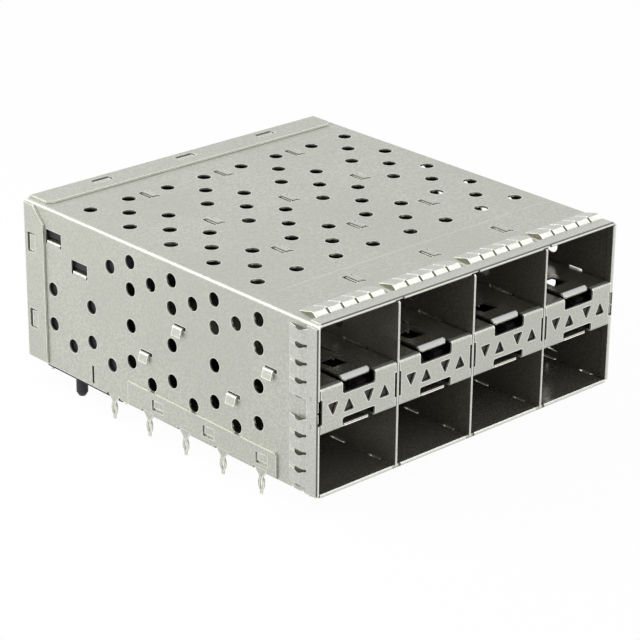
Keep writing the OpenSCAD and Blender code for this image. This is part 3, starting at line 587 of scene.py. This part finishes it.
# Soft square lamps: azimuth and elevation in degrees, size in metres, power in watts
LAMPS = {
    "key_left": dict(azimuth=-100, elevation=25, size=0.6, power=1.2, tint=(1.0, 1.0, 0.96)),
    "near_left": dict(azimuth=-125, elevation=32, size=0.1, power=0.1, distance=0.145),
    "back_left": dict(azimuth=-150, elevation=38, size=0.35, power=0.3),
    "front_right": dict(azimuth=25, elevation=12, size=0.6, power=0.9),
    "front_left": dict(azimuth=-30, elevation=6, size=0.5, power=0.6),
    "front_high": dict(azimuth=-10, elevation=45, size=0.5, power=0.75),
    "right_high": dict(azimuth=67, elevation=48, size=0.35, power=0.7),
    "top": dict(azimuth=180, elevation=80, size=0.8, power=0.2),
}


def direction(azimuth, elevation):
    """From the part towards a lamp or the camera: azimuth 0 is in front of the mouth."""
    a, e = math.radians(azimuth), math.radians(elevation)
    return Vector((math.sin(a) * math.cos(e), -math.cos(a) * math.cos(e), math.sin(e)))


def seen_rays(tree):
    """1 for camera, glossy and transmission rays, and 0 for those that light the part."""
    path = tree.nodes.new("ShaderNodeLightPath")
    total = path.outputs["Is Camera Ray"]
    for ray in ("Is Glossy Ray", "Is Transmission Ray"):
        either = tree.nodes.new("ShaderNodeMath")
        either.operation = "ADD"
        either.use_clamp = True
        tree.links.new(total, either.inputs[0])
        tree.links.new(path.outputs[ray], either.inputs[1])
        total = either.outputs[0]
    return total


def make_world():
    """White for the camera and in reflections, and a soft sky for the light."""
    world = bpy.data.worlds.new("studio")
    bpy.context.scene.world = world
    world.use_nodes = True
    tree = world.node_tree
    tree.nodes.clear()
    out = tree.nodes.new("ShaderNodeOutputWorld")
    mix = tree.nodes.new("ShaderNodeMixShader")
    tree.links.new(seen_rays(tree), mix.inputs[0])
    for (colour, strength), socket in zip(((SKY_COLOUR, SKY_STRENGTH), (WHITE, 1.0)), mix.inputs[1:]):
        background = tree.nodes.new("ShaderNodeBackground")
        background.inputs["Color"].default_value = colour
        background.inputs["Strength"].default_value = strength
        tree.links.new(background.outputs[0], socket)
    tree.links.new(mix.outputs[0], out.inputs["Surface"])


def make_floor():
    """White floor at the tips of the pins, which casts no shadow of its own."""
    bpy.ops.mesh.primitive_plane_add(size=FLOOR_SIZE, location=(0, 0, cad_low.z - FLOOR_DROP))
    floor = bpy.context.object
    floor.name = "floor"
    floor.visible_shadow = False
    n = Nodes("floor_white")
    n.surface(Base_Color=FLOOR_PAINT, Roughness=0.9)
    glow = n.add("Emission")
    glow.inputs["Color"].default_value = WHITE
    mix = n.add("MixShader")
    n.link(n.math("MULTIPLY", seen_rays(n.tree), FLOOR_GLOW), mix.inputs[0])
    n.link(n.shader.outputs[0], mix.inputs[1])
    n.link(glow.outputs[0], mix.inputs[2])
    n.link(mix.outputs[0], n.tree.nodes["Material Output"].inputs["Surface"])
    floor.data.materials.append(n.material)


def add_lamp(name, azimuth, elevation, size, power, distance=LAMP_DISTANCE, tint=(1.0, 1.0, 1.0)):
    """Soft square lamp that looks at the middle of the part."""
    away = direction(azimuth, elevation)
    lamp = bpy.data.lights.new(name, "AREA")
    lamp.size = size
    lamp.energy = power
    lamp.color = tint
    holder = bpy.data.objects.new(name, lamp)
    holder.location = cad_middle + away * distance
    holder.rotation_mode = "QUATERNION"
    holder.rotation_quaternion = (-away).to_track_quat("-Z", "Y")
    bpy.context.collection.objects.link(holder)


def make_camera():
    """Camera at the photo's angle, turned by its small roll."""
    ahead = -direction(VIEW_AZIMUTH, VIEW_ELEVATION)
    azimuth, roll_angle = math.radians(VIEW_AZIMUTH), math.radians(VIEW_ROLL)
    level = Vector((math.cos(azimuth), math.sin(azimuth), 0.0))
    above = level.cross(ahead)
    right = level * math.cos(roll_angle) + above * math.sin(roll_angle)
    up = above * math.cos(roll_angle) - level * math.sin(roll_angle)
    data = bpy.data.cameras.new("camera")
    data.lens = VIEW_LENS
    data.sensor_width = VIEW_SENSOR
    data.clip_start, data.clip_end = VIEW_CLIP
    camera = bpy.data.objects.new("camera", data)
    turn = Matrix((right, up, -ahead)).transposed().to_4x4()
    camera.matrix_world = Matrix.Translation(cad_middle + AIM_OFFSET - ahead * VIEW_DISTANCE) @ turn
    bpy.context.collection.objects.link(camera)
    bpy.context.scene.camera = camera


make_world()
make_floor()
for lamp_name, settings in LAMPS.items():
    add_lamp(lamp_name, **settings)
make_camera()
bpy.context.scene.view_settings.view_transform = "Standard"
